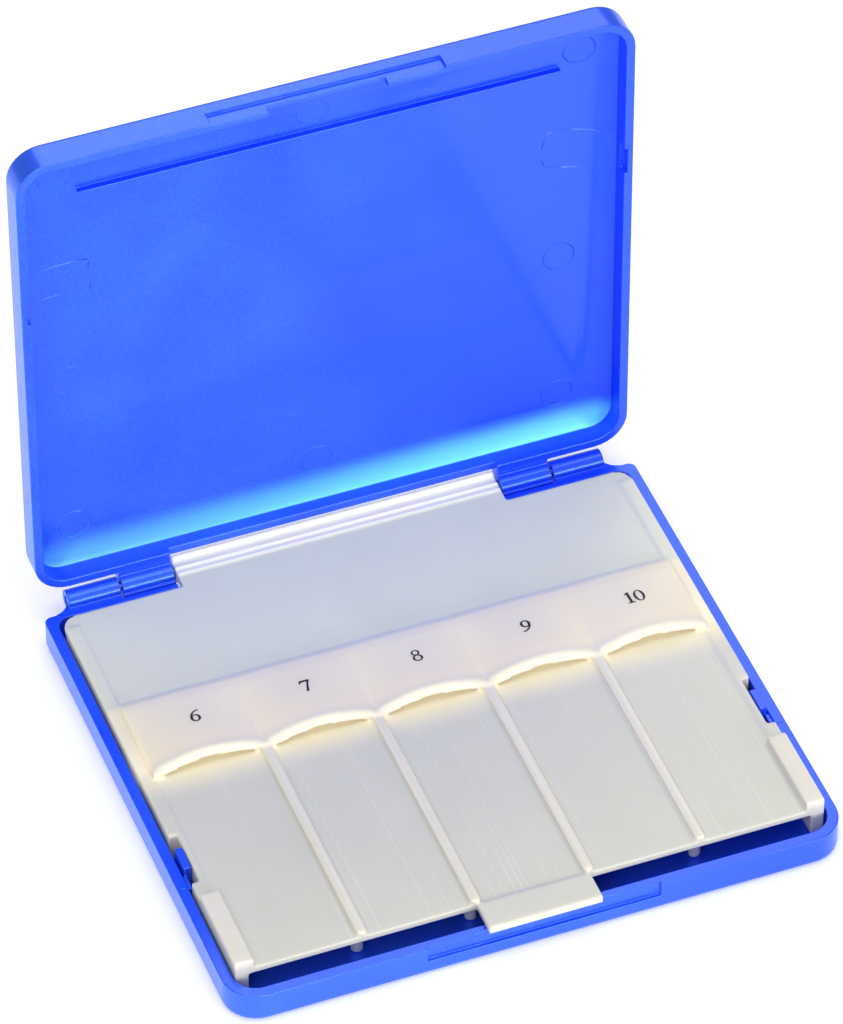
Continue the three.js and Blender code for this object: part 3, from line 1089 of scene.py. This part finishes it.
@dataclass
class Studio:
    """A pale floor, soft light and the camera."""

    boxes: tuple[SoftBox, ...] = (
        SoftBox("key_softbox", (-0.5, -0.68, 0.66), (0.6, 0.5), 3.2),
        SoftBox("low_softbox", (0.26, -0.95, 0.15), (0.8, 0.3), 6.5),
        SoftBox("top_softbox", (-0.05, -0.1, 1.3), (1.1, 0.9), 7.6),
        SoftBox("back_softbox", (0.4, 0.95, 0.95), (1.2, 0.6), 4.4),
    )
    aim: tuple[float, float, float] = (0.0, 0.0, 0.03)
    sky: float = 0.32
    camera_at: tuple[float, float, float] = (-0.2606, -0.6773, 0.7399)
    azimuth: float = -20.84
    elevation: float = 43.73
    roll: float = -0.164
    lens: float = 316.6
    floor_colour: str = "fbfbfb"
    floor_lift: float = 0.2
    floor_reach: float = 4.0

    def floor(self) -> None:
        """Lays a wide pale floor under the case."""
        bm = bmesh.new()
        bmesh.ops.create_grid(bm, x_segments=1, y_segments=1, size=self.floor_reach)
        made = bpy.data.materials.new("pale_paper")
        made.use_nodes = True
        shader = made.node_tree.nodes["Principled BSDF"]
        shader.inputs["Base Color"].default_value = srgb(self.floor_colour)
        shader.inputs["Roughness"].default_value = 0.9
        shader.inputs["Emission Color"].default_value = (1.0, 1.0, 1.0, 1.0)
        shader.inputs["Emission Strength"].default_value = self.floor_lift
        floor = new_piece("studio_floor", bm, made)

    def hang(self, box: SoftBox) -> None:
        """Hangs one softbox so that it faces the case.

        Args:
            box: The softbox.
        """
        data = bpy.data.lights.new(box.name, "AREA")
        data.shape = "RECTANGLE"
        data.size, data.size_y = box.size
        data.energy = box.power
        lamp = bpy.data.objects.new(box.name, data)
        lamp.location = box.at
        facing = Vector(self.aim) - Vector(box.at)
        lamp.rotation_euler = facing.to_track_quat("-Z", "Y").to_euler()
        bpy.context.scene.collection.objects.link(lamp)

    def light(self) -> None:
        """Sets the even sky and hangs the softboxes."""
        world = bpy.data.worlds.new("studio_sky")
        world.use_nodes = True
        sky = world.node_tree.nodes["Background"]
        sky.inputs["Color"].default_value = (1.0, 1.0, 1.0, 1.0)
        sky.inputs["Strength"].default_value = self.sky
        bpy.context.scene.world = world
        for box in self.boxes:
            self.hang(box)

    def camera(self) -> None:
        """Places the camera and makes it the scene's."""
        data = bpy.data.cameras.new("studio_camera")
        data.sensor_fit = "HORIZONTAL"
        data.sensor_width = 36.0
        data.lens = self.lens
        data.clip_start, data.clip_end = 0.05, 20.0
        camera = bpy.data.objects.new("studio_camera", data)
        az, el = math.radians(self.azimuth), math.radians(self.elevation)
        back = Vector((math.sin(az) * math.cos(el), -math.cos(az) * math.cos(el), math.sin(el)))
        roll = Matrix.Rotation(math.radians(self.roll), 3, "Z").to_quaternion()
        camera.location = self.camera_at
        camera.rotation_mode = "QUATERNION"
        camera.rotation_quaternion = (-back).to_track_quat("-Z", "Y") @ roll
        bpy.context.scene.collection.objects.link(camera)
        bpy.context.scene.camera = camera

    def build(self) -> None:
        """Sets up floor, light and camera."""
        self.floor()
        self.light()
        self.camera()
        bpy.context.scene.view_settings.view_transform = "Standard"


def main() -> None:
    """Builds every sub-assembly in order and reports each piece."""
    logging.basicConfig(level=logging.INFO, format="%(name)s: %(message)s")
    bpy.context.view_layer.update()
    blue = MetallicAbs().material()
    made = BaseShell(blue).build() + LidShell(blue).build()
    tray = NeedleTray(NaturalPolypropylene().material()).build()
    made += tray
    made += SizeNumerals(PadPrintInk().material(), tray[0]).build()
    made += HingePins(DrawnSteel().material()).build()
    for piece in made:
        log.info("%s: %d faces", piece.name, len(piece.data.polygons))
    Studio().build()
    bpy.context.view_layer.update()


if __name__ == "__main__":
    main()
